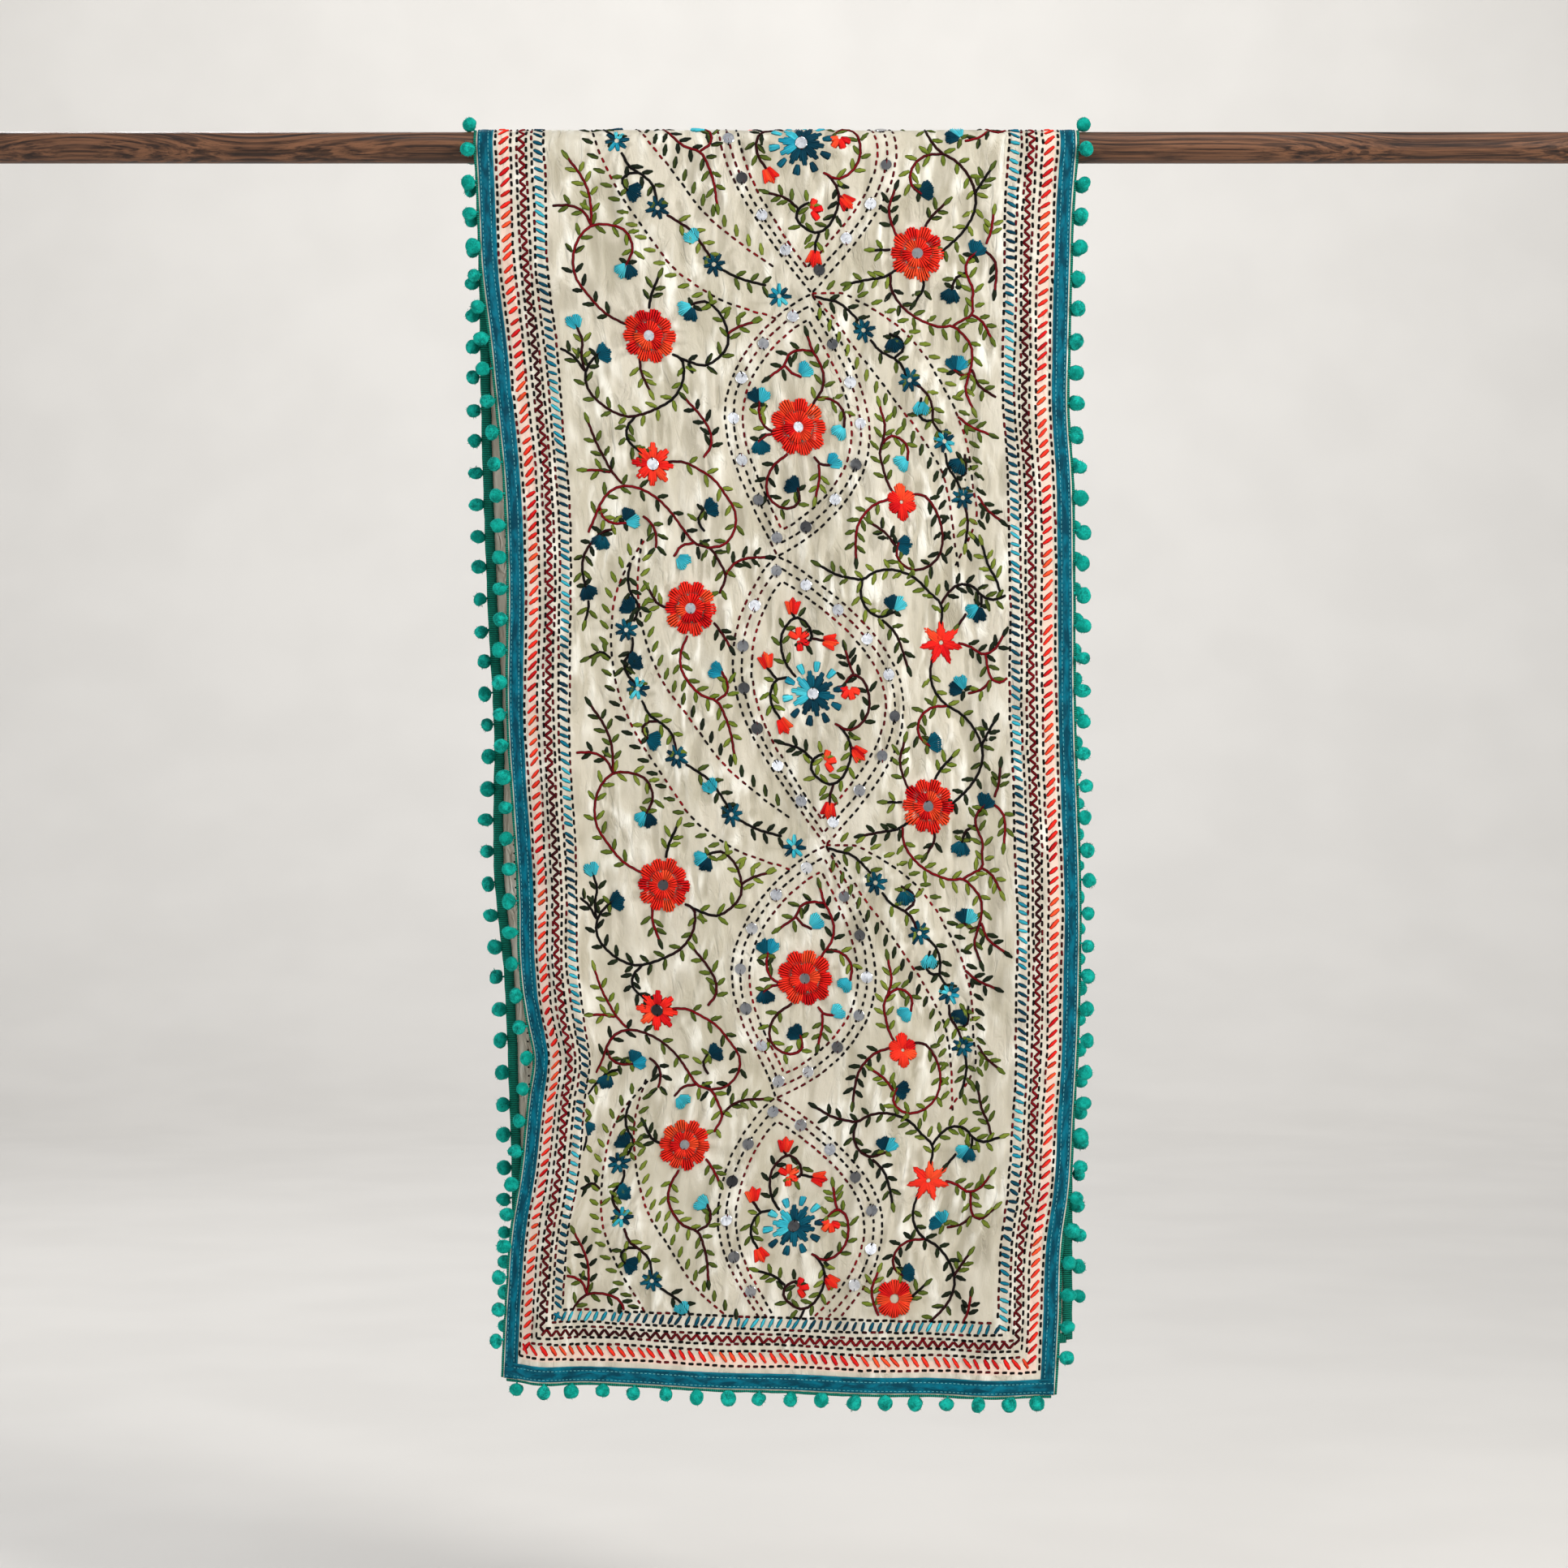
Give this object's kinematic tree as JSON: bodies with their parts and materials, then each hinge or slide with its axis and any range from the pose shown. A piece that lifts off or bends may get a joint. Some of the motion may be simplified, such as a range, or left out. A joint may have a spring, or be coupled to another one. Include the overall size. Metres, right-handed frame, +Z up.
{
  "type": "embroidered stole on a hanging rod",
  "caption": "Flat silk stole draped over a round wooden rod, floral thread embroidery with small mirrors, ribbon-bound edges and a pompom trim.",
  "frame": {"origin": "on the rod's axis, at the middle of the stole's width, where the rod carries it", "axes": "+X along the rod to the stole's right as seen from the front, -Y out of the front drop, +Z up"},
  "size_m": [1.5, 0.084, 1.1512],
  "materials": {
    "walnut": "oiled walnut, dark grain",
    "ivory_silk": "soft silk with a satin sheen",
    "teal_ribbon": "satin ribbon",
    "green_wool": "fuzzy wool",
    "embroidery_thread": "lustrous stranded thread, space-dyed red, blue, green and maroon",
    "mirror_work": "small round mirrors"
  },
  "bodies": {
    "root": {"rod": "walnut", "cloth_front": "ivory_silk", "cloth_over_rod": "ivory_silk", "cloth_back": "ivory_silk", "ribbon_left": "teal_ribbon", "ribbon_right": "teal_ribbon", "ribbon_front_hem": "teal_ribbon", "ribbon_back_hem": "teal_ribbon", "trim_front_left": "green_wool", "trim_front_right": "green_wool", "trim_front_hem": "green_wool", "trim_back_left": "green_wool", "trim_back_right": "green_wool", "trim_back_hem": "green_wool", "trim_over_left": "green_wool", "trim_over_right": "green_wool"}
  },
  "joints": []
}
